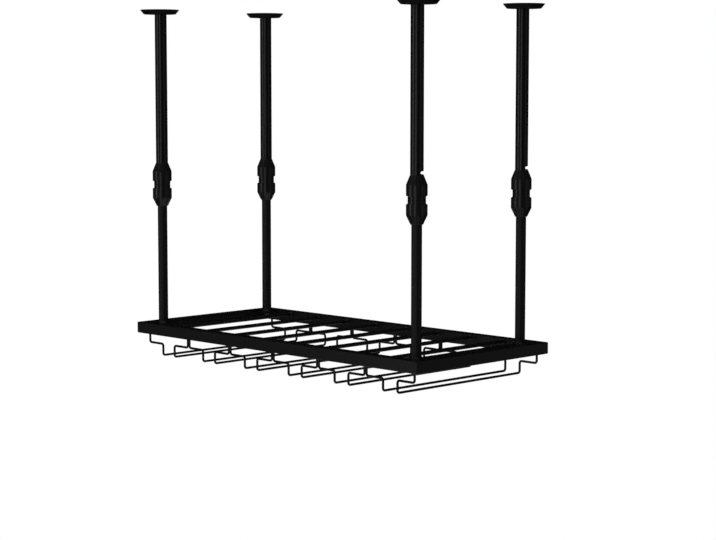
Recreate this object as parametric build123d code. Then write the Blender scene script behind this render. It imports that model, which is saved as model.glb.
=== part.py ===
from build123d import *
from math import copysign, hypot
import os

# A hanging wine glass rack: a steel frame on four telescopic posts that screw to the ceiling.
# Sizes are in millimetres. +X runs along the rack, +Y to its back and +Z up.
# The origin lies on the ceiling plane, in the middle of the four outer ceiling holes.
# The rack is drawn clamped at its lowest stop, so everything is below z = 0.

# Layout of the whole rack
frame_length = 816.8
frame_depth = 376.0
frame_drop = 658.0  # ceiling to the top of the frame
clamp_drop = 366.0  # ceiling to the seam between clamp sleeve and clamp nut
post_inset_x = 38.4  # end of the frame to the middle of a post
post_inset_y = 40.0  # long side of the frame to the middle of a post

# Clearances, all of them on the radius or between two faces
slide_clearance = 0.08  # lower tube in its collet, stop bush in the upper tube
seat_clearance = 0.05  # pieces that are assembled once and stay put
turn_clearance = 0.3  # clamp nut against everything that it turns round
stop_gap = 0.3  # stop bush above the collet, with the rack at its lowest stop

# Post tubes. The upper tube is as wide as the lower one and the collet shank need.
lower_tube_diameter = 20.0
lower_tube_wall = 1.5
upper_tube_wall = 1.5
collet_shank_wall = 0.87

# Notch milled in each upper tube, just above its clamp
notch_height = 6.0
notch_depth = 6.0
notch_rise = 4.9  # top of the clamp sleeve to the middle of the notch

# Ceiling flange
flange_rim_diameter = 81.0
flange_rim_land = 0.8
flange_underside_diameter = 66.6
flange_height = 9.4
flange_corner_radius = 2.0
flange_shift = 2.75  # middle of the post to the middle of its flange, outwards along the rack
flange_web = 4.0  # between the ceiling and the end of the tube
flange_spigot_length = 22.0
flange_spigot_wall = 3.0
screw_circle_diameter = 44.0
screw_count = 3
screw_hole_diameter = 4.8
screw_sink_diameter = 9.4

# Clamp: heights are measured from the seam, up for the sleeve and down for the nut
tube_end_rise = 8.0  # seam to the lower end of the upper tube
waist_height = 6.6
shoulder_height = 1.7
body_height = 20.1
cone_height = 16.8
body_step = 3.0  # from the waist out to the full body, on the radius
sleeve_tip_wall = 0.6
nut_tip_wall = 1.6
nut_end_radius = 1.2
thread_spigot_wall = 2.0
thread_spigot_depth = 17.0
nut_skirt_wall = 2.15
bead_depth = 11.0
bead_width = 3.4
bead_height = 1.0

# Shallow flutes round both cones of the clamp
flute_count = 16
flute_radius = 3.6
flute_depth = 0.9
flute_tip_depth = 0.1

# Collet
collet_shank_length = 13.7
collet_shoulder_height = 3.0
collet_straight_depth = 21.0
collet_tip_depth = 36.0
collet_tip_wall = 0.85
collet_slot_count = 4
collet_slot_width = 1.6
collet_slot_top = 6.0  # below the seam

# Stop bush on the top of each lower tube
bush_length = 14.0
bush_lip = 2.0

# Frame of square tube, mitred at its corners
rail_size = 23.45
rail_wall = 1.5
rail_corner_radius = 2.0

# Cross plates that carry the posts, each against an end rail
plate_margin = 12.05  # middle of a post to the free edge of its plate
plate_thickness = 4.0
plate_sink = 2.75  # top of the frame to the top of the plate

# Post foot: a threaded insert, held by a bolt and washer from below
foot_ring_diameter = 26.0
foot_ring_land = 1.2
foot_ring_height = 5.0
foot_insert_length = 24.0
bolt_diameter = 8.0
bolt_length = 25.0
bolt_head_flats = 13.0
bolt_head_height = 5.3
washer_diameter = 16.0
washer_thickness = 1.6
bolt_hole_clearance = 0.25

# Shelf bars
bar_count = 8
bar_diameter = 8.0
bar_inset = 97.95  # end of the frame to the middle of the first bar
bar_sink = 6.4  # top of the frame to the middle of a bar

# Glass channels: each is a pair of bent wires below the frame
channel_count = 6
channel_inset = 18.4  # end of the frame to the edge of the first channel
hanger_inset = 2.6  # edge of a channel to the upper end of its wire
run_spacing = 37.6  # between the two long runs that carry the feet of the glasses
wire_diameter = 4.8
wire_bend_radius = 5.0
jog_drop = 19.75  # underside of the frame to the middle of the jog
run_drop = 43.55  # underside of the frame to the middle of the long run
wire_front_offset = 5.8  # middle of the front rail back to the wire ends under it
wire_back_offset = 2.8  # middle of the back rail back to the wire ends under it

# Spacings that follow from the sizes above
post_pitch_x = frame_length - 2 * post_inset_x
post_pitch_y = frame_depth - 2 * post_inset_y
plate_width = post_inset_x - rail_size + plate_margin
bar_pitch = (frame_length - 2 * bar_inset) / (bar_count - 1)
channel_pitch = (frame_length - 2 * channel_inset) / channel_count
hanger_spacing = channel_pitch - 2 * hanger_inset

# Radii that follow from the sizes above
lower_radius = lower_tube_diameter / 2
collet_bore_radius = lower_radius + slide_clearance
collet_shank_radius = collet_bore_radius + collet_shank_wall
upper_bore_radius = collet_shank_radius + seat_clearance
upper_radius = upper_bore_radius + upper_tube_wall
sleeve_bore_radius = upper_radius + seat_clearance
thread_spigot_radius = sleeve_bore_radius + thread_spigot_wall
nut_bore_radius = thread_spigot_radius + turn_clearance
waist_radius = nut_bore_radius + nut_skirt_wall
body_radius = waist_radius + body_step
nut_hole_radius = lower_radius + turn_clearance

# Heights that follow from the sizes above
shoulder_end = waist_height + shoulder_height
body_end = shoulder_end + body_height
cone_end = body_end + cone_height
clamp_seam = -clamp_drop
upper_tube_end = clamp_seam + tube_end_rise
bush_bottom = upper_tube_end + collet_shank_length + stop_gap
lower_tube_top = bush_bottom + bush_length - bush_lip
frame_top = -frame_drop
frame_underside = frame_top - rail_size
plate_top = frame_top - plate_sink
lower_tube_foot = plate_top + foot_ring_height

# The four posts: name, place, and which way along X its flange is shifted
posts = [
    ("front_left", -post_pitch_x / 2, -post_pitch_y / 2, -1),
    ("front_right", post_pitch_x / 2, -post_pitch_y / 2, 1),
    ("back_left", -post_pitch_x / 2, post_pitch_y / 2, -1),
    ("back_right", post_pitch_x / 2, post_pitch_y / 2, 1),
]


def turned(*outline):
    """A solid turned about Z from a closed outline of (radius, height) points."""
    return revolve(make_face(Plane.XZ * Polyline(*outline, close=True)), Axis.Z)


def upright(radius, bottom, top):
    """A round rod about Z between two heights."""
    return Pos(0, 0, bottom) * extrude(Circle(radius), top - bottom)


def tube(outer_radius, inner_radius, bottom, top):
    """A round tube about Z between two heights."""
    return Pos(0, 0, bottom) * extrude(Circle(outer_radius) - Circle(inner_radius), top - bottom)


def ceiling_flange():
    """A bevelled disc that stands off +X, with a socket for the tube's end and a spigot inside it."""
    rim_radius = flange_rim_diameter / 2
    underside_radius = flange_underside_diameter / 2
    disc = turned(
        (0, 0),
        (rim_radius, 0),
        (rim_radius, -flange_rim_land),
        (underside_radius, -flange_height),
        (0, -flange_height),
    )
    lower_edge = disc.edges().filter_by(GeomType.CIRCLE).sort_by(Axis.Z)[0]
    disc = fillet(lower_edge, min(flange_corner_radius, 0.9 * (flange_height - flange_rim_land)))
    hole_radius = screw_hole_diameter / 2
    sink_radius = screw_sink_diameter / 2
    sink_depth = sink_radius - hole_radius
    sink = Cone(sink_radius, hole_radius, sink_depth, align=(Align.CENTER, Align.CENTER, Align.MIN))
    hole = upright(hole_radius, -flange_height, 0) + Pos(0, 0, -flange_height) * sink
    for place in PolarLocations(screw_circle_diameter / 2, screw_count):
        disc -= place * hole
    socket = upright(upper_radius + seat_clearance, -flange_height, -flange_web)
    spigot_radius = upper_bore_radius - seat_clearance
    spigot_end = -flange_height - flange_spigot_length
    spigot = tube(spigot_radius, spigot_radius - flange_spigot_wall, spigot_end, -flange_web)
    return Pos(flange_shift, 0, 0) * disc - socket + spigot


def upper_tube(side):
    """The outer tube, with a round-ended notch that faces the back corner on its own side."""
    blank = tube(upper_radius, upper_bore_radius, upper_tube_end, -flange_web)
    notch_middle = clamp_seam + cone_end + notch_rise
    notch_end = upper_radius - notch_depth + notch_height / 2
    cutter = Pos(notch_end, 0, 0) * Cylinder(notch_height / 2, 2 * upper_radius, rotation=(90, 0, 0))
    slot_length = upper_radius
    slot = Box(slot_length, 2 * upper_radius, notch_height, align=(Align.MIN, Align.CENTER, Align.CENTER))
    cutter += Pos(notch_end, 0, 0) * slot
    facing = 45 if side > 0 else 135
    return blank - Pos(0, 0, notch_middle) * Rot(0, 0, facing) * cutter


def flutes(tip_radius, direction):
    """Round cutters along a clamp cone that runs from the body to its tip, up or down."""
    along_r = tip_radius - body_radius
    along_z = direction * cone_height
    slant = hypot(along_r, along_z)
    out_r = abs(along_z) / slant
    out_z = copysign(abs(along_r) / slant, direction)
    low_offset = flute_radius - flute_depth
    high_offset = flute_radius - flute_tip_depth
    start = Vector(body_radius + out_r * low_offset, 0, direction * body_end + out_z * low_offset)
    end = Vector(tip_radius + out_r * high_offset, 0, direction * cone_end + out_z * high_offset)
    run = end - start
    origin = start - run
    length = 3 * run.length
    cutter = extrude(Plane(origin=origin, z_dir=run) * Circle(flute_radius), length)
    return [place * cutter for place in PolarLocations(0, flute_count)]


def clamp_sleeve():
    """The fixed upper half of a clamp, with the spigot that the nut turns on."""
    tip_radius = sleeve_bore_radius + sleeve_tip_wall
    bead_radius = thread_spigot_radius + bead_height
    sleeve = turned(
        (sleeve_bore_radius, cone_end),
        (tip_radius, cone_end),
        (body_radius, body_end),
        (body_radius, shoulder_end),
        (waist_radius, waist_height),
        (waist_radius, 0),
        (thread_spigot_radius, 0),
        (thread_spigot_radius, -bead_depth),
        (bead_radius, -bead_depth - bead_height),
        (bead_radius, -bead_depth - bead_width + bead_height),
        (thread_spigot_radius, -bead_depth - bead_width),
        (thread_spigot_radius, -thread_spigot_depth),
        (sleeve_bore_radius, -thread_spigot_depth),
    )
    for cutter in flutes(tip_radius, 1):
        sleeve -= cutter
    return Pos(0, 0, clamp_seam) * sleeve


def collet_tip_radius():
    """Outer radius of the collet's fingers at their tips."""
    return collet_bore_radius + collet_tip_wall


def collet_finger_radius():
    """Outer radius of the collet's fingers inside the sleeve's spigot."""
    return sleeve_bore_radius - turn_clearance


def clamp_collet():
    """A slotted collet on the end of the upper tube, which guides and grips the lower tube."""
    shoulder_bottom = tube_end_rise - collet_shoulder_height
    collet = turned(
        (collet_bore_radius, tube_end_rise + collet_shank_length),
        (collet_shank_radius, tube_end_rise + collet_shank_length),
        (collet_shank_radius, tube_end_rise),
        (sleeve_bore_radius - seat_clearance, tube_end_rise),
        (sleeve_bore_radius - seat_clearance, shoulder_bottom),
        (collet_finger_radius(), shoulder_bottom),
        (collet_finger_radius(), -collet_straight_depth),
        (collet_tip_radius(), -collet_tip_depth),
        (collet_bore_radius, -collet_tip_depth),
    )
    slot_height = collet_tip_depth - collet_slot_top
    slot = Box(body_radius, collet_slot_width, slot_height, align=(Align.MIN, Align.CENTER, Align.MAX))
    for place in PolarLocations(0, collet_slot_count):
        collet -= Pos(0, 0, -collet_slot_top) * place * slot
    return Pos(0, 0, clamp_seam) * collet


def clamp_nut():
    """The lower half of a clamp, which turns and squeezes the collet. Its groove takes the bead."""
    tip_radius = nut_hole_radius + nut_tip_wall
    groove_radius = nut_bore_radius + bead_height
    groove_top = -bead_depth + turn_clearance
    groove_end = -bead_depth - bead_width - turn_clearance
    nut = turned(
        (nut_bore_radius, -turn_clearance),
        (waist_radius, -turn_clearance),
        (waist_radius, -waist_height),
        (body_radius, -shoulder_end),
        (body_radius, -body_end),
        (tip_radius, -cone_end),
        (nut_hole_radius, -cone_end),
        (nut_hole_radius, -collet_tip_depth - turn_clearance),
        (collet_tip_radius() + turn_clearance, -collet_tip_depth - turn_clearance),
        (collet_finger_radius() + turn_clearance, -collet_straight_depth),
        (collet_finger_radius() + turn_clearance, -thread_spigot_depth - turn_clearance),
        (nut_bore_radius, -thread_spigot_depth - turn_clearance),
        (nut_bore_radius, groove_end),
        (groove_radius, groove_end + bead_height),
        (groove_radius, groove_top - bead_height),
        (nut_bore_radius, groove_top),
    )
    lower_edges = nut.edges().filter_by(GeomType.CIRCLE).filter_by_position(
        Axis.Z, -cone_end - 0.01, -cone_end + 0.01
    )
    nut = fillet(lower_edges.sort_by(SortBy.RADIUS)[-1], min(nut_end_radius, 0.75 * nut_tip_wall))
    for cutter in flutes(tip_radius, -1):
        nut -= cutter
    return Pos(0, 0, clamp_seam) * nut


def stop_bush():
    """A bush pressed over the top of a lower tube, with a lip on the tube's end."""
    outer_radius = upper_bore_radius - slide_clearance
    seat_radius = lower_radius + seat_clearance
    bore_radius = lower_radius - lower_tube_wall
    return turned(
        (seat_radius, bush_bottom),
        (outer_radius, bush_bottom),
        (outer_radius, bush_bottom + bush_length),
        (bore_radius, bush_bottom + bush_length),
        (bore_radius, lower_tube_top),
        (seat_radius, lower_tube_top),
    )


def foot_insert():
    """A flared ring under the tube's end, with a threaded spigot inside the tube."""
    thread_radius = bolt_diameter / 2 + seat_clearance
    spigot_radius = lower_radius - lower_tube_wall - seat_clearance
    ring_radius = foot_ring_diameter / 2
    ring_top_radius = lower_radius + 0.25 * (ring_radius - lower_radius)
    return turned(
        (thread_radius, plate_top),
        (ring_radius, plate_top),
        (ring_radius, plate_top + foot_ring_land),
        (ring_top_radius, lower_tube_foot),
        (spigot_radius, lower_tube_foot),
        (spigot_radius, plate_top + foot_insert_length),
        (thread_radius, plate_top + foot_insert_length),
    )


def foot_washer():
    """A plain washer under the cross plate."""
    top = plate_top - plate_thickness
    return tube(washer_diameter / 2, bolt_diameter / 2 + bolt_hole_clearance, top - washer_thickness, top)


def foot_bolt():
    """A hexagon bolt, up through washer and plate into the foot insert."""
    head_top = plate_top - plate_thickness - washer_thickness
    hexagon = RegularPolygon(bolt_head_flats / 2, 6, major_radius=False)
    head = Pos(0, 0, head_top - bolt_head_height) * extrude(hexagon, bolt_head_height)
    return head + upright(bolt_diameter / 2, head_top, head_top + bolt_length)


def mitred_prism(length, inset):
    """A bar along X whose ends are mitred to the outer face on y = 0, drawn in by an inset."""
    near = inset
    far = rail_size - inset
    outline = Polyline(
        (near - length / 2, near),
        (length / 2 - near, near),
        (length / 2 - far, far),
        (far - length / 2, far),
        close=True,
    )
    return Pos(0, 0, inset - rail_size) * extrude(make_face(outline), rail_size - 2 * inset)


def rail(length):
    """A length of square tube, rounded on its long edges and mitred at both ends."""
    outside = mitred_prism(length, 0)
    outside = fillet(outside.edges().filter_by(Axis.X), rail_corner_radius)
    return outside - mitred_prism(length, rail_wall)


def post_plate(side):
    """A cross plate against an end rail, between the long rails, with a bolt hole for each post."""
    middle = side * (frame_length / 2 - rail_size - plate_width / 2)
    span = frame_depth - 2 * rail_size
    top_aligned = (Align.CENTER, Align.CENTER, Align.MAX)
    plate = Pos(middle, 0, plate_top) * Box(plate_width, span, plate_thickness, align=top_aligned)
    hole = upright(bolt_diameter / 2 + bolt_hole_clearance, plate_top - plate_thickness, plate_top)
    for y in (-post_pitch_y / 2, post_pitch_y / 2):
        plate -= Pos(side * post_pitch_x / 2, y, 0) * hole
    return plate


def shelf_bar(x):
    """A round bar between the inner faces of the long rails."""
    span = frame_depth - 2 * rail_size
    return Pos(x, 0, frame_top - bar_sink) * Cylinder(bar_diameter / 2, span, rotation=(90, 0, 0))


def glass_wire(middle, side):
    """One wire of a channel: down from a long rail, in along X, down again, and back the same way."""
    hanger_x = middle + side * hanger_spacing / 2
    run_x = middle + side * run_spacing / 2
    rail_middle_y = (frame_depth - rail_size) / 2
    front_y = -rail_middle_y + wire_front_offset
    back_y = rail_middle_y + wire_back_offset
    jog_z = frame_underside - jog_drop
    run_z = frame_underside - run_drop
    route = FilletPolyline(
        (hanger_x, front_y, frame_underside),
        (hanger_x, front_y, jog_z),
        (run_x, front_y, jog_z),
        (run_x, front_y, run_z),
        (run_x, back_y, run_z),
        (run_x, back_y, jog_z),
        (hanger_x, back_y, jog_z),
        (hanger_x, back_y, frame_underside),
        radius=wire_bend_radius,
    )
    section = Plane(origin=route @ 0, z_dir=route % 0) * Circle(wire_diameter / 2)
    return sweep(section, path=route)


parts = {}

# Post pieces: one of each, copied to the four posts
sleeve = clamp_sleeve()
collet = clamp_collet()
nut = clamp_nut()
lower_tube = tube(lower_radius, lower_radius - lower_tube_wall, lower_tube_foot, lower_tube_top)
bush = stop_bush()
insert = foot_insert()
flange = ceiling_flange()
for name, x, y, side in posts:
    post = Pos(x, y, 0)
    parts[f"ceiling_flange_{name}"] = post * Rot(0, 0, 0 if side > 0 else 180) * flange
    parts[f"upper_tube_{name}"] = post * upper_tube(side)
    parts[f"clamp_sleeve_{name}"] = post * sleeve
    parts[f"clamp_collet_{name}"] = post * collet
    parts[f"clamp_nut_{name}"] = post * nut
    parts[f"lower_tube_{name}"] = post * lower_tube
    parts[f"stop_bush_{name}"] = post * bush
    parts[f"foot_insert_{name}"] = post * insert
parts["foot_washers"] = Compound([Pos(x, y, 0) * foot_washer() for _, x, y, _ in posts])
parts["foot_bolts"] = Compound([Pos(x, y, 0) * foot_bolt() for _, x, y, _ in posts])

# Frame
long_rail = rail(frame_length)
end_rail = rail(frame_depth)
parts["rail_front"] = Pos(0, -frame_depth / 2, frame_top) * long_rail
parts["rail_back"] = Pos(0, frame_depth / 2, frame_top) * Rot(0, 0, 180) * long_rail
parts["rail_left"] = Pos(-frame_length / 2, 0, frame_top) * Rot(0, 0, -90) * end_rail
parts["rail_right"] = Pos(frame_length / 2, 0, frame_top) * Rot(0, 0, 90) * end_rail
parts["post_plate_left"] = post_plate(-1)
parts["post_plate_right"] = post_plate(1)
for number in range(bar_count):
    bar_x = (number - (bar_count - 1) / 2) * bar_pitch
    parts[f"shelf_bar_{number + 1}"] = shelf_bar(bar_x)

# Glass channels
for number in range(channel_count):
    middle = (number - (channel_count - 1) / 2) * channel_pitch
    parts[f"glass_wire_{number + 1}_left"] = glass_wire(middle, -1)
    parts[f"glass_wire_{number + 1}_right"] = glass_wire(middle, 1)

os.makedirs("parts", exist_ok=True)
for name, shape in parts.items():
    shape.label = name
    export_step(shape, f"parts/{name}.step")
print(len(parts), "sub-parts written")
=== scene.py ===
# %% [markdown]
# A hanging wine glass rack, dressed for a photograph
#
# The rack is a black steel frame on four telescopic posts. Its true sizes come from the CAD
# model, which is loaded first and never moved. This lesson gives each surface its finish, adds
# the small things that a maker's hands and machines leave behind, and lights the whole.
#
# Sizes of the rack are written in millimetres, as on a drawing, and MM turns them into Blender's
# metres. The studio's are in metres. An operator acts on all that is selected, so everything is
# deselected before the work starts.

# %% Load the CAD model
import bpy
import math
from mathutils import Matrix, Vector


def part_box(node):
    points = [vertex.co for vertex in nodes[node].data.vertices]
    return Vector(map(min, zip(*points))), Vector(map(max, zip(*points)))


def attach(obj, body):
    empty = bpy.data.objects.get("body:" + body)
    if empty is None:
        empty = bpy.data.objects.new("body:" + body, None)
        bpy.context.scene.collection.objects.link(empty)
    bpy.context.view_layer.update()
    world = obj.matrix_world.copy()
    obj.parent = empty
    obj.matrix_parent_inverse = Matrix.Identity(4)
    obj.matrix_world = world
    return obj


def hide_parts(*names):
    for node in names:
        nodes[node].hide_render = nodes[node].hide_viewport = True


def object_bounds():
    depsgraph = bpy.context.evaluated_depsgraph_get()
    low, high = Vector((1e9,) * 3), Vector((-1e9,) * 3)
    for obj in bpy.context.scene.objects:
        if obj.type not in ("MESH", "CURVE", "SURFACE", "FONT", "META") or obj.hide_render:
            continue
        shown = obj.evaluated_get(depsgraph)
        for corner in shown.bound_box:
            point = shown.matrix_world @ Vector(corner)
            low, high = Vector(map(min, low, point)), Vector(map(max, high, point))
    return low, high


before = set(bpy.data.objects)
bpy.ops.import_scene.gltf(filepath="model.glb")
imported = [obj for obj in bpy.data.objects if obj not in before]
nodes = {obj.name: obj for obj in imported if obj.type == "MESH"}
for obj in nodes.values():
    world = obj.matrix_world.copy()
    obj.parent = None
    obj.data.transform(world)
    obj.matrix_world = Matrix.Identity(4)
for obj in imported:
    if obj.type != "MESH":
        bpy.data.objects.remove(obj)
MM = 0.001
cad_low, cad_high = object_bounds()
bpy.ops.object.select_all(action="DESELECT")
size = [round((high - low) / MM, 1) for low, high in zip(cad_low, cad_high)]
print("CAD nodes:", len(nodes), "overall size in mm:", size)

# %% [markdown]
# The camera stands where the photographer stood. Its place and lens were worked out from the
# straight edges of the posts and the frame: out along the diagonal of the front right corner,
# a little below the ceiling, looking slightly down. The lens is long, so the posts look almost
# parallel.

# %% Camera
PHOTO_WIDTH_PX = 716
FOCAL_PX = 1876.56
SENSOR_MM = 36.0
CAMERA_PLACE = (2.7337, -2.6517, -0.1517)
LOOK_DOWN_DEG = 5.6996
ROLL_DEG = -0.0278
FACING_DEG = 45.151
camera_data = bpy.data.cameras.new("camera")
camera_data.sensor_width = SENSOR_MM
camera_data.lens = SENSOR_MM * FOCAL_PX / PHOTO_WIDTH_PX
camera_data.clip_start = 0.05
camera_data.clip_end = 60.0
camera = bpy.data.objects.new("camera", camera_data)
camera.location = CAMERA_PLACE
camera.rotation_euler = [math.radians(turn) for turn in (90 - LOOK_DOWN_DEG, ROLL_DEG, FACING_DEG)]
bpy.context.scene.collection.objects.link(camera)
bpy.context.scene.camera = camera
print("Lens in mm:", round(camera_data.lens, 2))

# %% [markdown]
# Colours are written as the hex values that a screen shows. The renderer counts light instead,
# so one function turns a hex value into linear light, with the numbers of the sRGB standard.

# %% Colours
def linear(hex_value, alpha=1.0):
    """An sRGB hex value as linear RGBA."""
    channels = [int(hex_value[i:i + 2], 16) / 255 for i in (1, 3, 5)]
    light = [c / 12.92 if c <= 0.04045 else ((c + 0.055) / 1.055) ** 2.4 for c in channels]
    return (*light, alpha)


# %% [markdown]
# Every finish is a small tree of nodes. One helper adds a node, sets its values and joins it
# to what comes before. A link is written as (node, "output"), a plain value as itself. Where
# sockets share a name, _2 means the socket with number 2.

# %% Node helper
def add_node(tree, kind, settings=None, **inputs):
    """Adds a node. Settings are the node's own; inputs are values or (node, output) links."""
    node = tree.nodes.new(kind)
    for name, value in (settings or {}).items():
        setattr(node, name, value)
    for name, value in inputs.items():
        socket = node.inputs[int(name[1:])] if name[0] == "_" else node.inputs[name.replace("_", " ")]
        if isinstance(value, tuple) and isinstance(value[0], bpy.types.Node):
            tree.links.new(value[0].outputs[value[1]], socket)
        else:
            socket.default_value = value
    return node


def new_material(name):
    """A material and its empty tree."""
    material = bpy.data.materials.new(name)
    material.use_nodes = True
    material.node_tree.nodes.clear()
    print("Finish:", name)
    return material, material.node_tree


# %% [markdown]
# New pieces are modelled as by hand: a primitive, then edit mode. Edit mode works on what is
# selected, so one helper selects points, edges or faces by a test on their own place. Short
# tests tell a round end from the sides, and a ring of points by its radius and height. Another
# helper draws a round end out along an outline of (radius, height) steps, as on a lathe.

# %% Choosing and drawing out
SAME_SIZE = 0.02
QUAD_SIDES = 4
LEVEL_NORMAL = 0.5


def near(value, target, within=SAME_SIZE):
    """True if two sizes in millimetres are the same."""
    return abs(value - target) < within


def rings(piece, item):
    """The (radius, height) of each point of an edge or a face, in millimetres."""
    points = [piece.data.vertices[index].co / MM for index in item.vertices]
    return [(math.hypot(point.x, point.y), point.z) for point in points]


def steps_round(point, steps):
    """At which step round Z a point lies, where a full turn has so many steps."""
    return round(math.atan2(point.y, point.x) / (2 * math.pi) * steps)


def is_round(face):
    """True for a round end, the only face with more sides than a quad."""
    return len(face.vertices) > QUAD_SIDES


def faces_along(face, way):
    """True for a face that looks up, where way is 1, or down, where it is -1."""
    return way * face.normal.z > LEVEL_NORMAL


def choose(piece, kind, test):
    """Selects the VERT, EDGE or FACE items that pass a test, and leaves the piece in edit mode."""
    bpy.context.view_layer.objects.active = piece
    bpy.ops.object.mode_set(mode="EDIT")
    bpy.ops.mesh.select_mode(type=kind)
    bpy.ops.mesh.select_all(action="DESELECT")
    bpy.ops.object.mode_set(mode="OBJECT")
    items = {"VERT": piece.data.vertices, "EDGE": piece.data.edges, "FACE": piece.data.polygons}[kind]
    for item in items:
        item.select = test(item)
    bpy.ops.object.mode_set(mode="EDIT")


def turn_along(outline, way, radius, height):
    """Extrudes the selected round end along an outline of (radius, height) steps, up or down."""
    for next_radius, next_height in outline:
        rise = way * (next_height - height) * MM
        ratio = next_radius / radius
        bpy.ops.mesh.extrude_region_move(TRANSFORM_OT_translate={"value": (0, 0, rise)})
        bpy.ops.transform.resize(value=(ratio, ratio, 1), center_override=(0, 0, 0))
        radius, height = next_radius, next_height


# %% [markdown]
# A shape that is done is closed up. Points that lie on one another are merged, all faces are
# turned outwards, and the shading is smoothed over every edge that bends less than an angle, so
# round sides look round and corners stay crisp. A hole that is left is bridged, edge to edge.
#
# What repeats is modelled once, as a master, and copied. A copy has its turn and place in its
# points, so its origin stays with the CAD's, and a pattern on its surface doesn't slide.

# %% Closing and copying
MERGE_GAP = 0.002
SMOOTH_DEG = 35


def bridge_holes():
    """Joins the two open rims of the piece in edit mode with a band of faces."""
    bpy.ops.mesh.select_all(action="DESELECT")
    bpy.ops.mesh.select_non_manifold()
    bpy.ops.mesh.bridge_edge_loops()


def close_up(piece, smooth_deg=SMOOTH_DEG):
    """Merges double points, turns the faces outwards and smooths the shading of a piece."""
    bpy.ops.mesh.select_all(action="SELECT")
    bpy.ops.mesh.remove_doubles(threshold=MERGE_GAP * MM)
    bpy.ops.mesh.normals_make_consistent(inside=False)
    bpy.ops.object.mode_set(mode="OBJECT")
    bpy.ops.object.shade_smooth_by_angle(angle=math.radians(smooth_deg))
    print(piece.name, "faces:", len(piece.data.polygons))


def copy_to(master, name, place, turn=Matrix()):
    """A copy with a mesh of its own, whose turn and place are in its points."""
    piece = master.copy()
    piece.data = master.data.copy()
    piece.data.transform(Matrix.Translation(place) @ turn)
    piece.name = name
    bpy.context.scene.collection.objects.link(piece)
    return piece


def discard(*masters):
    """Removes masters whose copies are made."""
    for master in masters:
        bpy.data.objects.remove(master)


# %% [markdown]
# Each post has a clamp: a fixed sleeve above and a turning nut below, both moulded in black
# nylon. They are the nearest thing to the eye, so they get a mesh of their own instead of the
# CAD one. Each is turned from a short cylinder, the body. From its outer end rises a cone with
# sixteen finger flutes, and from the other end a shoulder drops to a waist. The widths come
# from the CAD nodes, and heights are counted from the seam between the two halves.

# %% Sizes of a clamp
POSTS = ("front_left", "front_right", "back_left", "back_right")
BODY_STEP = 3.0
WAIST_HEIGHT = 6.6
SHOULDER_HEIGHT = 1.7
BODY_HEIGHT = 20.1
CONE_HEIGHT = 16.8
SEAM_GAP = 0.3


def radius_of(node):
    """Half the width of a round CAD node, in millimetres."""
    low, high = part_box(node)
    return (high.x - low.x) / 2 / MM


body_radius = radius_of("clamp_nut_front_left")
upper_radius = radius_of("upper_tube_front_left")
lower_radius = radius_of("lower_tube_front_left")
waist_radius = body_radius - BODY_STEP
shoulder_end = WAIST_HEIGHT + SHOULDER_HEIGHT
body_end = shoulder_end + BODY_HEIGHT
cone_end = body_end + CONE_HEIGHT
seam_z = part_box("clamp_nut_front_left")[1].z + SEAM_GAP * MM
print("Body and waist radius in mm:", round(body_radius, 2), round(waist_radius, 2))
print("Seam at height in mm:", round(seam_z / MM, 2))

# %% [markdown]
# The flutes give a thumb its hold. They could be cut with a boolean, which leaves ragged faces.
# Here the points on the two rims of the cone are moved instead, and the long faces between them
# follow. Where a flute runs out on the body, the rim dips in a scallop. At the tip the flutes
# have almost died away. Across, a flute is an arc, and so each point's share of its depth is.

# %% Finger flutes
FLUTES = 16
FLUTE_STEPS = 12
FLUTE_RADIUS = 3.6
FLUTE_DEPTH = 0.9
FLUTE_TIP_DEPTH = 0.1


def flute_share(step):
    """How deep a flute is, from 1 in its valley to 0 on the ridge, some steps off its middle."""
    across = step * 2 * math.pi * body_radius / (FLUTES * FLUTE_STEPS)
    floor = FLUTE_RADIUS - FLUTE_DEPTH
    return max(0.0, math.sqrt(max(0.0, FLUTE_RADIUS ** 2 - across ** 2)) - floor) / FLUTE_DEPTH


def flute_step(point):
    """How many steps a point lies from the middle of the flute next to it."""
    step = steps_round(point, FLUTES * FLUTE_STEPS) % FLUTE_STEPS
    return min(step, FLUTE_STEPS - step)


def choose_in_flutes(half, step, radius, height):
    """Selects the points of a rim that lie some steps off the middle of a flute."""
    def is_there(vertex):
        on_rim = near(vertex.co.z / MM, height) and near(vertex.co.xy.length / MM, radius)
        return on_rim and flute_step(vertex.co) == step

    choose(half, "VERT", is_there)


def press_flutes(half, way, tip_radius):
    """Presses the flutes in: their ends scallop the body, and they die away at the tip."""
    slope = (body_radius - tip_radius - FLUTE_DEPTH) / CONE_HEIGHT
    scallop = FLUTE_DEPTH / slope
    for step in range(FLUTE_STEPS // 2):
        share = flute_share(step)
        choose_in_flutes(half, step, body_radius, way * body_end)
        bpy.ops.transform.translate(value=(0, 0, -way * share * scallop * MM))
        choose_in_flutes(half, step, tip_radius, way * cone_end)
        ratio = 1 - share * FLUTE_TIP_DEPTH / tip_radius
        bpy.ops.transform.resize(value=(ratio, ratio, 1), center_override=(0, 0, 0))


# %% [markdown]
# A half is modelled as it would be turned on a lathe. The body is a primitive cylinder, whose
# ends are drawn out along two outlines: one over the cone and into the bore, the other over the
# shoulder and the waist and into the bore from there. Inside, the two last rounds are opened
# and bridged, which closes the wall. The body stops a little short of the cone, and its last
# strip, SCALLOP_ROOM high, holds the scallops. The first point of a primitive lies on Y, so the
# body is turned back by a quarter, to X, from where the flutes are counted.

# %% One half of a clamp
SCALLOP_ROOM = 3.4
QUARTER_BACK = -math.pi / 2
body_top = body_end - SCALLOP_ROOM


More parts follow.
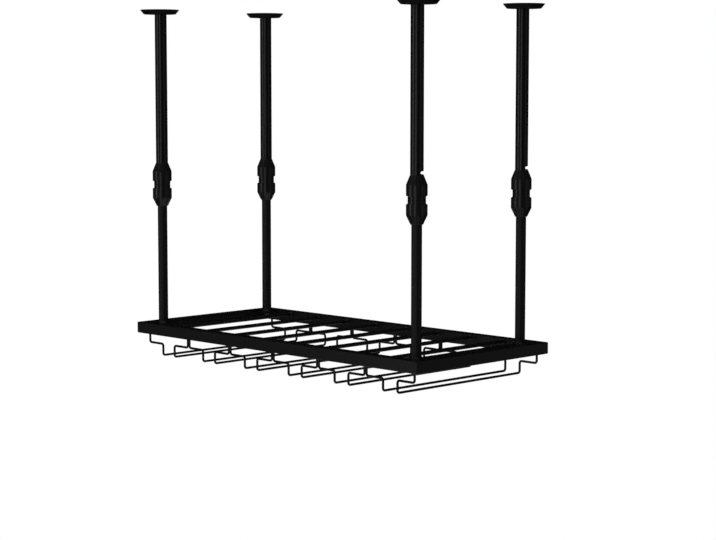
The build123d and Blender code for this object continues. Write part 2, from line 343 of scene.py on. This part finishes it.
def clamp_half(name, way, tip, waist):
    """Half a clamp. way is 1 upwards; tip and waist are outlines that end in the bore."""
    bpy.ops.mesh.primitive_cylinder_add(
        vertices=FLUTES * FLUTE_STEPS, radius=body_radius * MM, depth=(body_top - shoulder_end) * MM,
        location=(0, 0, way * (body_top + shoulder_end) / 2 * MM), rotation=(0, 0, QUARTER_BACK),
    )
    half = bpy.context.object
    half.name = name
    bpy.ops.object.transform_apply(location=True, rotation=True)
    choose(half, "FACE", lambda face: is_round(face) and faces_along(face, way))
    turn_along([(body_radius, body_end)] + tip, way, body_radius, body_top)
    choose(half, "FACE", lambda face: is_round(face) and faces_along(face, -way))
    turn_along(waist, way, body_radius, shoulder_end)
    choose(half, "FACE", is_round)
    bpy.ops.mesh.delete(type="ONLY_FACE")
    bpy.ops.mesh.select_mode(type="EDGE")
    bridge_holes()
    press_flutes(half, way, tip[0][0])
    return half


# %% [markdown]
# No moulded edge is sharp. The rim of the flutes and the seam get a small bevel, and the tip
# one of its own size. The two edges of the shoulder are only shaded round: their sharp marks are
# cleared, and weighted normals let the large faces rule how the light bends over them. Faces
# whose areas differ by under EQUAL_AREA weigh the same.

# %% Edges of a half
EDGE_BEVEL = 0.25
EDGE_SEGMENTS = 2
TIP_SEGMENTS = 3
AREA_WEIGHT = 100
EQUAL_AREA = 1.0 * MM ** 2


def finish_half(half, way, tip_radius, tip_bevel):
    """Rounds the edges that a finger feels, and closes the half up."""
    def is_tip(edge):
        pressed = FLUTE_TIP_DEPTH + SAME_SIZE
        return all(near(r, tip_radius, pressed) and near(way * z, cone_end) for r, z in rings(half, edge))

    def is_edge(edge):
        ends = rings(half, edge)
        border = all(near(r, body_radius) and way * z > body_top + SAME_SIZE for r, z in ends)
        seam = all(near(r, waist_radius) and way * z < WAIST_HEIGHT / 2 for r, z in ends)
        return border or seam

    choose(half, "EDGE", is_tip)
    bpy.ops.mesh.bevel(offset=tip_bevel * MM, segments=TIP_SEGMENTS)
    choose(half, "EDGE", is_edge)
    bpy.ops.mesh.bevel(offset=EDGE_BEVEL * MM, segments=EDGE_SEGMENTS)
    close_up(half)


def flow_over_shoulder(half, way):
    """Lets the light flow over the shoulder, without moving a point."""
    shoulder = ((body_radius, shoulder_end), (waist_radius, WAIST_HEIGHT))
    choose(half, "EDGE", lambda edge: any(
        all(near(r, radius) and near(way * z, height) for r, z in rings(half, edge))
        for radius, height in shoulder
    ))
    bpy.ops.mesh.mark_sharp(clear=True)
    bpy.ops.object.mode_set(mode="OBJECT")
    bpy.ops.object.modifier_add(type="WEIGHTED_NORMAL")
    flow = half.modifiers[-1]
    flow.keep_sharp = True
    flow.weight = AREA_WEIGHT
    flow.thresh = EQUAL_AREA
    bpy.ops.object.modifier_apply(modifier=flow.name)


# %% [markdown]
# The sleeve is fixed on the upper tube. Its tip is thin, so that it ends almost flush with the
# tube, and a spigot reaches down from its waist for the nut to turn on.

# %% Clamp sleeve
SEAT_GAP = 0.05
SLEEVE_TIP_WALL = 0.6
SPIGOT_WALL = 2.0
SPIGOT_DEPTH = 17.0
sleeve_bore = upper_radius + SEAT_GAP
sleeve_tip = sleeve_bore + SLEEVE_TIP_WALL
spigot_radius = sleeve_bore + SPIGOT_WALL
sleeve = clamp_half(
    "sleeve_master", 1, [(sleeve_tip, cone_end), (sleeve_bore, cone_end)],
    [(waist_radius, WAIST_HEIGHT), (waist_radius, 0), (spigot_radius, 0),
     (spigot_radius, -SPIGOT_DEPTH), (sleeve_bore, -SPIGOT_DEPTH)],
)
finish_half(sleeve, 1, sleeve_tip, EDGE_BEVEL)
flow_over_shoulder(sleeve, 1)

# %% [markdown]
# The nut is the same shape upside down, so its way is -1. It is bored wider round the spigot
# and narrower round the lower tube, with room to turn on both. A hand meets its lower end first,
# so the wall there is thicker and the edge rounder: a 1.2 mm round, which reaches 0.75 mm.

# %% Clamp nut
TURN_GAP = 0.3
NUT_TIP_WALL = 1.6
NUT_TIP_BEVEL = 0.75
nut_bore = spigot_radius + TURN_GAP
nut_hole = lower_radius + TURN_GAP
nut_tip = nut_hole + NUT_TIP_WALL
nut = clamp_half(
    "nut_master", -1, [(nut_tip, cone_end), (nut_hole, cone_end)],
    [(waist_radius, WAIST_HEIGHT), (waist_radius, SEAM_GAP), (nut_bore, SEAM_GAP),
     (nut_bore, SPIGOT_DEPTH + TURN_GAP), (nut_hole, SPIGOT_DEPTH + TURN_GAP)],
)
finish_half(nut, -1, nut_tip, NUT_TIP_BEVEL)
flow_over_shoulder(nut, -1)

# %% [markdown]
# Every post gets a copy of both halves, on the axis of its lower tube. The sleeve rides on the
# ceiling set, which stays still, and the nut on a body of its own, which turns. They replace the
# CAD solids to the eye alone: those stay behind to collide.

# %% Four clamps
clamps = []
for post in POSTS:
    low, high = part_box(f"lower_tube_{post}")
    place = ((low.x + high.x) / 2, (low.y + high.y) / 2, seam_z)
    for master, kind, body in ((sleeve, "sleeve", "ceiling_set"), (nut, "nut", f"nut_{post}")):
        piece = copy_to(master, f"moulded_{kind}_{post}", place)
        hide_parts(f"clamp_{kind}_{post}")
        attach(piece, body)
        clamps.append(piece)
discard(sleeve, nut)
print("Clamp halves:", len(clamps))

# %% [markdown]
# Each glass channel is a pair of bent wires. A wire is bent from one straight length: down from
# the front rail, in, down again, back along the run, and up to the back rail the same way. A
# curve with a round bevel could draw it, but pinches at tight bends. Here a round end is drawn
# out along each straight and spun round each bend, as a bending machine does it.

# %% One bent wire
WIRE_SIDES = 24
BEND_RADIUS = 5.0
BEND_STEPS = 12


def draw_out(move):
    """Extrudes the selected round end by a vector in millimetres."""
    bpy.ops.mesh.extrude_region_move(TRANSFORM_OT_translate={"value": move * MM})


def bend_wire(name, corners, wire_radius):
    """Draws a round wire through corners, in millimetres, with a bend at each inner one."""
    ways = [(end - start).normalized() for start, end in zip(corners, corners[1:])]
    bpy.ops.mesh.primitive_circle_add(
        vertices=WIRE_SIDES, radius=wire_radius * MM, fill_type="NGON", location=corners[0] * MM
    )
    wire = bpy.context.object
    wire.name = name
    bpy.ops.object.transform_apply(location=True)
    bpy.ops.object.mode_set(mode="EDIT")
    bpy.ops.mesh.select_all(action="SELECT")
    here = corners[0]
    for corner, way, next_way in zip(corners[1:-1], ways, ways[1:]):
        bend_start = corner - way * BEND_RADIUS
        draw_out(bend_start - here)
        centre = bend_start + next_way * BEND_RADIUS
        bpy.ops.mesh.spin(
            steps=BEND_STEPS, angle=math.pi / 2, center=centre * MM, axis=next_way.cross(way)
        )
        here = corner + next_way * BEND_RADIUS
    draw_out(corners[-1] - here)
    close_up(wire)
    return wire


# %% [markdown]
# The box of a CAD wire gives its reach to the side, its two ends and its lowest run. How far the
# jog lies below the rail is a size of its own. One left wire is modelled. The right one is its
# mirror image, and a mirror turns a shape inside out, so its faces are flipped back. All twelve
# are copies of these two.

# %% Twelve wires
CHANNELS = 6
SIDES = ("left", "right")
WIRE_RADIUS = 2.4
JOG_DROP = 19.75
MIRRORED = Matrix.Scale(-1, 4, (1, 0, 0))


def wire_ends(number, side):
    """Where a wire meets its rails: the x of its ends, the y in front and behind, and the z."""
    low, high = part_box(f"glass_wire_{number}_{side}")
    x = low.x + WIRE_RADIUS * MM if side == "left" else high.x - WIRE_RADIUS * MM
    return x, low.y + WIRE_RADIUS * MM, high.y - WIRE_RADIUS * MM, high.z


low, high = (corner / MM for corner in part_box("glass_wire_1_left"))
reach = high.x - low.x - 2 * WIRE_RADIUS
front_y, back_y = low.y + WIRE_RADIUS, high.y - WIRE_RADIUS
jog_z, run_z = high.z - JOG_DROP, low.z + WIRE_RADIUS
front_corners = [
    Vector((0, front_y, high.z)), Vector((0, front_y, jog_z)),
    Vector((reach, front_y, jog_z)), Vector((reach, front_y, run_z)),
]
back_corners = [Vector((corner.x, back_y, corner.z)) for corner in reversed(front_corners)]
left_wire = bend_wire("left_wire_master", front_corners + back_corners, WIRE_RADIUS)
right_wire = copy_to(left_wire, "right_wire_master", (0, 0, 0), MIRRORED)
right_wire.data.flip_normals()
wires = []
for number in range(1, CHANNELS + 1):
    for side, master in zip(SIDES, (left_wire, right_wire)):
        wire = copy_to(master, f"bent_wire_{number}_{side}", (wire_ends(number, side)[0], 0, 0))
        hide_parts(f"glass_wire_{number}_{side}")
        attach(wire, "rack")
        wires.append(wire)
discard(left_wire, right_wire)
print("Wires:", len(wires), "reach of a jog in mm:", round(reach, 2))

# %% [markdown]
# The frame is welded, and a weld shows: a small bead runs round each shelf bar and each wire
# where it meets its rail, with ripples left by the moving arc. A bump on the rail couldn't stand
# out from it, so a bead is a small torus whose points are pulled out at every crest. The half
# that has melted into the rail is cut off.

# %% A welded ring
RIPPLE_WAVES = 14
POINTS_PER_WAVE = 4
RIPPLE = 0.16
RING_SIDES = 12
WELD_SMOOTH_DEG = 50


def weld_ring(name, rod_radius, bead):
    """A rippled bead round a rod along Z, below the face that the rod is welded to."""
    steps = RIPPLE_WAVES * POINTS_PER_WAVE
    bpy.ops.mesh.primitive_torus_add(
        major_segments=steps, minor_segments=RING_SIDES,
        major_radius=rod_radius * MM, minor_radius=bead * MM,
    )
    ring = bpy.context.object
    ring.name = name
    choose(ring, "VERT", lambda vertex: steps_round(vertex.co, steps) % POINTS_PER_WAVE == 0)
    bpy.ops.transform.shrink_fatten(value=RIPPLE * MM)
    bpy.ops.mesh.select_all(action="SELECT")
    bpy.ops.mesh.bisect(plane_co=(0, 0, 0), plane_no=(0, 0, 1), clear_outer=True)
    bridge_holes()
    close_up(ring, WELD_SMOOTH_DEG)
    return ring


# %% [markdown]
# One ring fits every bar and another every wire. A bar runs from rail to rail, so its rings are
# turned to face along it: the front one backwards, the back one forwards. A wire meets its
# rails from below, as the ring was made, so its rings aren't turned.

# %% Rings on the bars and the wires
BARS = 8
BAR_BEAD = 1.3
WIRE_BEAD = 0.9
FACING_BACK = Matrix.Rotation(math.pi / 2, 4, "X")
FACING_FRONT = Matrix.Rotation(-math.pi / 2, 4, "X")
welds = []
low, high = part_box("shelf_bar_1")
bar_ring = weld_ring("bar_ring_master", (high.z - low.z) / 2 / MM, BAR_BEAD)
for number in range(1, BARS + 1):
    low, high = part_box(f"shelf_bar_{number}")
    x, z = (low.x + high.x) / 2, (low.z + high.z) / 2
    welds.append(copy_to(bar_ring, f"bar_weld_{number}_front", (x, low.y, z), FACING_BACK))
    welds.append(copy_to(bar_ring, f"bar_weld_{number}_back", (x, high.y, z), FACING_FRONT))

wire_ring = weld_ring("wire_ring_master", WIRE_RADIUS, WIRE_BEAD)
for number in range(1, CHANNELS + 1):
    for side in SIDES:
        x, wire_front, wire_back, z = wire_ends(number, side)
        for end, y in (("front", wire_front), ("back", wire_back)):
            welds.append(copy_to(wire_ring, f"wire_weld_{number}_{side}_{end}", (x, y, z)))
print("Welded rings:", len(welds))

# %% [markdown]
# The cross plates under the posts are held by short stitches along their lower edges. A stitch
# is a rod drawn out step by step, thick and thin by turns. Its ends are half as thick as its
# middle, and from there it swells by a quarter of its full radius a step. Most of it lies in the
# corner of the steel, and the quarter that shows is the fillet.

# %% One weld stitch
STITCH_LENGTH = 22.4
STITCH_STEP = 0.7
STITCH_RADIUS = 1.9
STITCH_SIDES = 16
STEPS_PER_RIPPLE = 3
END_SHARE = 0.5
SWELL_SHARE = 0.25


def weld_stitch(name):
    """A rippled stitch along Z, with its middle at the origin."""
    count = round(STITCH_LENGTH / STITCH_STEP)
    bpy.ops.mesh.primitive_cylinder_add(
        vertices=STITCH_SIDES, radius=END_SHARE * STITCH_RADIUS * MM, depth=STITCH_STEP * MM,
        location=(0, 0, (STITCH_STEP - STITCH_LENGTH) / 2 * MM),
    )
    stitch = bpy.context.object
    stitch.name = name
    bpy.ops.object.transform_apply(location=True)
    outline = []
    for step in range(2, count + 1):
        taper = min(1.0, END_SHARE + SWELL_SHARE * min(step - 1, count - step))
        valley = RIPPLE if step % STEPS_PER_RIPPLE == 0 else 0
        outline.append((STITCH_RADIUS * taper - valley, step * STITCH_STEP))
    choose(stitch, "FACE", lambda face: faces_along(face, 1))
    turn_along(outline, 1, END_SHARE * STITCH_RADIUS, STITCH_STEP)
    close_up(stitch, WELD_SMOOTH_DEG)
    return stitch


# %% [markdown]
# Each plate has three stitches along its end rail, and one at each long rail. A stitch is
# modelled upright, so a copy is laid down along Y or X, with its middle on the plate's lower
# edge.

# %% Stitches on the cross plates
STITCH_PLACES = (-105, 0, 105)
ALONG_Y = Matrix.Rotation(math.pi / 2, 4, "X")
ALONG_X = Matrix.Rotation(math.pi / 2, 4, "Y")
stitch = weld_stitch("stitch_master")
for side in SIDES:
    low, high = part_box(f"post_plate_{side}")
    rail_x = low.x if side == "left" else high.x
    for number, y in enumerate(STITCH_PLACES, 1):
        place = (rail_x, y * MM, low.z)
        welds.append(copy_to(stitch, f"plate_stitch_{side}_{number}", place, ALONG_Y))
    for end, y in (("front", low.y), ("back", high.y)):
        place = ((low.x + high.x) / 2, y, low.z)
        welds.append(copy_to(stitch, f"plate_stitch_{side}_{end}", place, ALONG_X))
for weld in welds:
    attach(weld, "rack")
discard(bar_ring, wire_ring, stitch)
print("Weld beads:", len(welds))

# %% [markdown]
# Powder coat: polyester powder, sprayed on dry steel and baked. It leaves a satin black skin
# with a faint orange peel, ripples about 2 mm wide, and a finer grain of about 0.3 mm that
# breaks up reflections. Both are bump, and the peel also shifts the gloss a little. They are
# noise on Object coordinates, so they keep their real size on every piece.

# %% Satin black powder coat
PEEL_WIDTH = 2.0
COAT_GRAIN = 0.3


def powder_coat():
    """Satin black polyester powder coat on steel."""
    material, tree = new_material("satin_black_powder_coat")
    place = add_node(tree, "ShaderNodeTexCoord")
    peel = add_node(
        tree, "ShaderNodeTexNoise", Vector=(place, "Object"), Scale=1 / (PEEL_WIDTH * MM), Detail=2.0
    )
    grain = add_node(
        tree, "ShaderNodeTexNoise", Vector=(place, "Object"), Scale=1 / (COAT_GRAIN * MM), Detail=1.0
    )
    gloss = add_node(tree, "ShaderNodeMapRange", Value=(peel, "Fac"), To_Min=0.27, To_Max=0.33)
    ripples = add_node(tree, "ShaderNodeBump", Height=(peel, "Fac"), Strength=0.10, Distance=0.05 * MM)
    skin = add_node(
        tree, "ShaderNodeBump", Height=(grain, "Fac"), Strength=0.15, Distance=0.01 * MM,
        Normal=(ripples, "Normal"),
    )
    shader = add_node(
        tree, "ShaderNodeBsdfPrincipled",
        Base_Color=linear("#0b0b0c"), Roughness=(gloss, "Result"), IOR=1.5,
        Specular_IOR_Level=0.4, Normal=(skin, "Normal"),
    )
    add_node(tree, "ShaderNodeOutputMaterial", Surface=(shader, "BSDF"))
    return material


coat = powder_coat()

# %% [markdown]
# Nylon 66, black right through. The mould was spark-eroded, which leaves a fine grain. Its
# highlights are as narrow as on the coated steel beside it, but weaker, so the clamps look a
# little softer. Where the melt flowed together the gloss drifts, in patches of about 6 mm.

# %% Moulded black nylon
NYLON_FLOW = 6.0
NYLON_GRAIN = 0.25


def moulded_nylon():
    """Injection-moulded black nylon with a fine eroded grain."""
    material, tree = new_material("moulded_black_nylon")
    place = add_node(tree, "ShaderNodeTexCoord")
    flow = add_node(
        tree, "ShaderNodeTexNoise", Vector=(place, "Object"), Scale=1 / (NYLON_FLOW * MM), Detail=2.0
    )
    grain = add_node(
        tree, "ShaderNodeTexNoise", Vector=(place, "Object"), Scale=1 / (NYLON_GRAIN * MM), Detail=2.0
    )
    gloss = add_node(tree, "ShaderNodeMapRange", Value=(flow, "Fac"), To_Min=0.26, To_Max=0.31)
    skin = add_node(tree, "ShaderNodeBump", Height=(grain, "Fac"), Strength=0.12, Distance=0.01 * MM)
    shader = add_node(
        tree, "ShaderNodeBsdfPrincipled",
        Base_Color=linear("#121213"), Roughness=(gloss, "Result"), IOR=1.53,
        Specular_IOR_Level=0.26, Normal=(skin, "Normal"),
    )
    add_node(tree, "ShaderNodeOutputMaterial", Surface=(shader, "BSDF"))
    return material


nylon = moulded_nylon()

# %% [markdown]
# The lower tubes slide in their clamps, so powder would be too thick on them. They have a thin
# black electrocoat instead, smoother to the finger but duller: its gloss is spread wide. Faint
# lines run along the tube, left by the die it was drawn through. The noise for them is about
# 0.5 mm wide and 40 mm long, so it is stretched by a Mapping node before it is drawn.

# %% Black electrocoat
DIE_LINE_WIDTH = 0.5
DIE_LINE_LENGTH = 40


def electrocoat():
    """Thin cathodic electrocoat on drawn steel tube, with faint lines along the tube."""
    material, tree = new_material("black_electrocoat")
    place = add_node(tree, "ShaderNodeTexCoord")
    across, along = 1 / (DIE_LINE_WIDTH * MM), 1 / (DIE_LINE_LENGTH * MM)
    drawn = add_node(tree, "ShaderNodeMapping", Vector=(place, "Object"), Scale=(across, across, along))
    lines = add_node(tree, "ShaderNodeTexNoise", Vector=(drawn, "Vector"), Scale=1.0, Detail=2.0)
    gloss = add_node(tree, "ShaderNodeMapRange", Value=(lines, "Fac"), To_Min=0.44, To_Max=0.54)
    skin = add_node(tree, "ShaderNodeBump", Height=(lines, "Fac"), Strength=0.10, Distance=0.01 * MM)
    shader = add_node(
        tree, "ShaderNodeBsdfPrincipled",
        Base_Color=linear("#0d0d0e"), Roughness=(gloss, "Result"), IOR=1.5,
        Specular_IOR_Level=0.34, Normal=(skin, "Normal"),
    )
    add_node(tree, "ShaderNodeOutputMaterial", Surface=(shader, "BSDF"))
    return material


ecoat = electrocoat()

# %% [markdown]
# The flanges are turned steel under a dead matt black paint. Matt paint holds tiny grains
# that scatter the gloss, so the bevels stay dark although they face a white floor. The real
# grains are too fine to show, so they are drawn about 0.4 mm wide.

# %% Matt black paint
PAINT_GRAIN = 0.4


def matt_paint():
    """Dead matt black paint on turned steel, with a fine even grain."""
    material, tree = new_material("matt_black_paint")
    place = add_node(tree, "ShaderNodeTexCoord")
    grain = add_node(
        tree, "ShaderNodeTexNoise", Vector=(place, "Object"), Scale=1 / (PAINT_GRAIN * MM), Detail=3.0
    )
    gloss = add_node(tree, "ShaderNodeMapRange", Value=(grain, "Fac"), To_Min=0.55, To_Max=0.66)
    skin = add_node(tree, "ShaderNodeBump", Height=(grain, "Fac"), Strength=0.2, Distance=0.02 * MM)
    shader = add_node(
        tree, "ShaderNodeBsdfPrincipled",
        Base_Color=linear("#080809"), Roughness=(gloss, "Result"), IOR=1.5,
        Specular_IOR_Level=0.10, Normal=(skin, "Normal"),
    )
    add_node(tree, "ShaderNodeOutputMaterial", Surface=(shader, "BSDF"))
    return material


paint = matt_paint()

# %% [markdown]
# The collets and the stop bushes are black acetal, a slippery plastic that looks a little waxy:
# the skin is smooth, and its gloss drifts slowly where the melt cooled, about every 4 mm.

# %% Moulded black acetal
ACETAL_FLOW = 4.0


def moulded_acetal():
    """Black acetal, moulded, with a soft waxy gloss."""
    material, tree = new_material("moulded_black_acetal")
    place = add_node(tree, "ShaderNodeTexCoord")
    flow = add_node(
        tree, "ShaderNodeTexNoise", Vector=(place, "Object"), Scale=1 / (ACETAL_FLOW * MM), Detail=2.0
    )
    gloss = add_node(tree, "ShaderNodeMapRange", Value=(flow, "Fac"), To_Min=0.36, To_Max=0.44)
    skin = add_node(tree, "ShaderNodeBump", Height=(flow, "Fac"), Strength=0.05, Distance=0.02 * MM)
    shader = add_node(
        tree, "ShaderNodeBsdfPrincipled",
        Base_Color=linear("#161617"), Roughness=(gloss, "Result"), IOR=1.48,
        Specular_IOR_Level=0.5, Normal=(skin, "Normal"),
    )
    add_node(tree, "ShaderNodeOutputMaterial", Surface=(shader, "BSDF"))
    return material


acetal = moulded_acetal()

# %% [markdown]
# The foot bolts and their washers are zinc plated: a bright metal with a faint blue cast that
# drifts to straw in patches of about 5 mm, as the clear passivate over the zinc is a little
# thicker there. A mix node blends the two tints. The plate's own grain is drawn 0.3 mm wide.

# %% Zinc plated steel
PASSIVATE_PATCH = 5.0
ZINC_GRAIN = 0.3


def zinc_plate():
    """Zinc plated steel with a clear passivate, blue to straw in patches."""
    material, tree = new_material("zinc_plated_steel")
    place = add_node(tree, "ShaderNodeTexCoord")
    patches = add_node(
        tree, "ShaderNodeTexNoise", Vector=(place, "Object"), Scale=1 / (PASSIVATE_PATCH * MM), Detail=2.0
    )
    grain = add_node(
        tree, "ShaderNodeTexNoise", Vector=(place, "Object"), Scale=1 / (ZINC_GRAIN * MM), Detail=2.0
    )
    tint = add_node(
        tree, "ShaderNodeMix", {"data_type": "RGBA"}, _0=(patches, "Fac"),
        _6=linear("#a7aeb6"), _7=linear("#b5b1a4"),
    )
    gloss = add_node(tree, "ShaderNodeMapRange", Value=(grain, "Fac"), To_Min=0.28, To_Max=0.40)
    skin = add_node(tree, "ShaderNodeBump", Height=(grain, "Fac"), Strength=0.15, Distance=0.01 * MM)
    shader = add_node(
        tree, "ShaderNodeBsdfPrincipled",
        Base_Color=(tint, 2), Metallic=1.0, Roughness=(gloss, "Result"), Normal=(skin, "Normal"),
    )
    add_node(tree, "ShaderNodeOutputMaterial", Surface=(shader, "BSDF"))
    return material


zinc = zinc_plate()

# %% [markdown]
# A node's name says what it is, so the CAD nodes get their finish by the start of their name.
# Those that aren't listed are coated steel, or stay hidden behind a moulded half. The wires
# and the welds are coated too, because they were joined before the powder went on.

# %% Dress every piece
SPECIAL = {
    "ceiling_flange": paint, "lower_tube": ecoat, "clamp_collet": acetal, "stop_bush": acetal,
    "foot_bolts": zinc, "foot_washers": zinc,
}


def dress(piece, material):
    """Gives a piece one finish."""
    piece.data.materials.clear()
    piece.data.materials.append(material)


for name, node in nodes.items():
    finishes = [finish for start, finish in SPECIAL.items() if name.startswith(start)]
    dress(node, finishes[0] if finishes else coat)
for piece in clamps:
    dress(piece, nylon)
for piece in wires + welds:
    dress(piece, coat)
print("Dressed:", len(nodes) + len(clamps) + len(wires) + len(welds))

# %% [markdown]
# The studio is a white room: the camera, glossy and clear rays see it at full strength, and
# it gives the rack an even soft light. Real walls would need a strong lamp each. A world of
# plain white costs nothing, and the light path tells it which kind of ray is asking.

# %% White room
WHITE_LEVEL = 1.0
SOFT_LEVEL = 0.6


def seen_ray(tree):
    """1 for what the eye, a gloss or a clear thing sees, and 0 for soft light."""
    ray = add_node(tree, "ShaderNodeLightPath")
    gloss = add_node(
        tree, "ShaderNodeMath", {"operation": "MAXIMUM"},
        _0=(ray, "Is Camera Ray"), _1=(ray, "Is Glossy Ray"),
    )
    return add_node(
        tree, "ShaderNodeMath", {"operation": "MAXIMUM"},
        _0=(gloss, "Value"), _1=(ray, "Is Transmission Ray"),
    )


def white_room():
    """The world: white to the eye and in reflections, a little softer as light."""
    world = bpy.data.worlds.new("white_room")
    world.use_nodes = True
    tree = world.node_tree
    tree.nodes.clear()
    level = add_node(
        tree, "ShaderNodeMapRange", Value=(seen_ray(tree), "Value"), To_Min=SOFT_LEVEL, To_Max=WHITE_LEVEL
    )
    sky = add_node(tree, "ShaderNodeBackground", Color=(1, 1, 1, 1), Strength=(level, "Result"))
    add_node(tree, "ShaderNodeOutputWorld", Surface=(sky, "Background"))
    return world


bpy.context.scene.world = white_room()
print("World:", bpy.context.scene.world.name)

# %% [markdown]
# A gloss black thing in a white room would only look grey, so a photographer hangs black flags
# round it. Here they are one tall drum of black felt with a bottom and no top. Only reflections
# see it: the camera looks through it, and it holds no light back.

# %% Black flags
FLAG_RADIUS = 8.0
FLAG_LOW, FLAG_HIGH = -2.4, 12.0
FLAG_SIDES = 96


def black_felt():
    """Wool felt: nearly black, with no gloss at all."""
    material, tree = new_material("black_felt")
    felt = add_node(tree, "ShaderNodeBsdfDiffuse", Color=linear("#0c0c0c"))
    add_node(tree, "ShaderNodeOutputMaterial", Surface=(felt, "BSDF"))
    return material


bpy.ops.mesh.primitive_cylinder_add(
    vertices=FLAG_SIDES, radius=FLAG_RADIUS, depth=FLAG_HIGH - FLAG_LOW, end_fill_type="NGON",
    location=(0, 0, (FLAG_HIGH + FLAG_LOW) / 2),
)
flags = bpy.context.object
flags.name = "black_flags"
choose(flags, "FACE", lambda face: faces_along(face, 1))
bpy.ops.mesh.delete(type="FACE")
bpy.ops.object.mode_set(mode="OBJECT")
dress(flags, black_felt())
flags.visible_camera = False
flags.visible_diffuse = False
flags.visible_transmission = False
flags.visible_shadow = False

# %% [markdown]
# The floor is a round of matt white paper, 2.4 m below the ceiling, outside the photograph's
# view. It keeps the shadow of the rack. To the eye, and in gloss and glass, some light of its
# own lifts it to the white of the room, and towards its rim it is all white, so no edge shows.

# %% Floor
FLOOR_RADIUS = 1.7
FLOOR_LEVEL = -2.39
FLOOR_SIDES = 128
SHADOW_RADIUS = 0.9
WHITE_RADIUS = FLOOR_RADIUS * 0.97
PAPER_GLOW = 0.45


def white_paper():
    """Matt white paper that shows soft shadows near its middle and is plain white at its rim."""
    material, tree = new_material("matt_white_paper")
    place = add_node(tree, "ShaderNodeTexCoord")
    flat = add_node(tree, "ShaderNodeMapping", Vector=(place, "Object"), Scale=(1, 1, 0))
    out = add_node(tree, "ShaderNodeVectorMath", {"operation": "LENGTH"}, _0=(flat, "Vector"))
    rim = add_node(
        tree, "ShaderNodeMapRange", {"interpolation_type": "SMOOTHSTEP"},
        Value=(out, "Value"), From_Min=SHADOW_RADIUS, From_Max=WHITE_RADIUS,
    )
    seen = seen_ray(tree)
    glow = add_node(tree, "ShaderNodeMath", {"operation": "MULTIPLY"}, _0=(seen, "Value"), _1=PAPER_GLOW)
    paper = add_node(tree, "ShaderNodeBsdfDiffuse", Color=linear("#e6e6e6"))
    light = add_node(tree, "ShaderNodeEmission", Strength=(glow, "Value"))
    lit = add_node(tree, "ShaderNodeAddShader", _0=(paper, "BSDF"), _1=(light, "Emission"))
    white = add_node(tree, "ShaderNodeEmission", Strength=(seen, "Value"))
    whole = add_node(
        tree, "ShaderNodeMixShader", _0=(rim, "Result"), _1=(lit, "Shader"), _2=(white, "Emission")
    )
    add_node(tree, "ShaderNodeOutputMaterial", Surface=(whole, "Shader"))
    return material


bpy.ops.mesh.primitive_circle_add(
    vertices=FLOOR_SIDES, radius=FLOOR_RADIUS, fill_type="NGON", location=(0, 0, FLOOR_LEVEL)
)
floor = bpy.context.object
floor.name = "paper_floor"
dress(floor, white_paper())

# %% [markdown]
# Upright softboxes draw the long highlights on the posts. A highlight on a round tube lies half
# way between the camera and the lamp, so each lamp's place follows from where its streak lies:
# far to the left, near the middle, and a weak one to the right. Wide dim panels beside them
# fill the flat sides of the frame. Lamps higher up do the same for the cones of the clamps,
# and two low ones behind give the posts their streaks when the rack is seen from the back.
#
# A lamp has its turn from the camera in degrees, its width and height in metres, and last how
# bright its face looks, so a wider one needs no other value.

# %% Softboxes
CAMERA_TURN = math.degrees(math.atan2(camera.location.y, camera.location.x))
LAMP_DISTANCE = 5.5
LAMP_LEVEL, LOW_LAMP_LEVEL = -0.7, -1.85
TALL, MIDDLING, SHORT = 3.4, 2.2, 1.1
RAISED_DEG = 36


def softbox(name, turn, width, height, radiance, level=LAMP_LEVEL, rise=0):
    """A rectangular lamp that faces the rack, turned from the camera and raised by some degrees."""
    data = bpy.data.lights.new(name, "AREA")
    data.shape = "RECTANGLE"
    data.size = width
    data.size_y = height
    data.energy = radiance * math.pi * width * height
    around, up = math.radians(CAMERA_TURN + turn), math.radians(rise)
    outwards = Vector((math.cos(around) * math.cos(up), math.sin(around) * math.cos(up), math.sin(up)))
    lamp = bpy.data.objects.new(name, data)
    lamp.location = Vector((0, 0, level)) + LAMP_DISTANCE * outwards
    lamp.rotation_euler = (-outwards).to_track_quat("-Z", "Y").to_euler()
    lamp.visible_camera = False
    bpy.context.scene.collection.objects.link(lamp)
    print("Lamp:", name, "watts:", round(data.energy, 1))


softbox("left_strip", -71, 0.8, TALL, 3.2)
softbox("left_panel", -103, 2.5, TALL, 0.09)
softbox("front_strip", -20, 1.2, TALL, 1.75)
softbox("right_strip", 58, 1.0, TALL, 0.5)
softbox("right_panel", 92, 1.8, TALL, 0.13)
softbox("left_high", -71, 0.8, MIDDLING, 0.9, rise=RAISED_DEG)
softbox("front_high", -20, 1.2, MIDDLING, 0.25, rise=RAISED_DEG)
softbox("top_panel", -100, 2.5, MIDDLING, 0.15, rise=RAISED_DEG)
softbox("back_low_left", -155, 0.9, SHORT, 2.0, level=LOW_LAMP_LEVEL)
softbox("back_low_right", 162, 0.9, SHORT, 2.5, level=LOW_LAMP_LEVEL)

# %% [markdown]
# The picture is shown as it is, with no film curve over it, so that a colour looks as it was written.

# %% Finish
bpy.context.scene.view_settings.view_transform = "Standard"
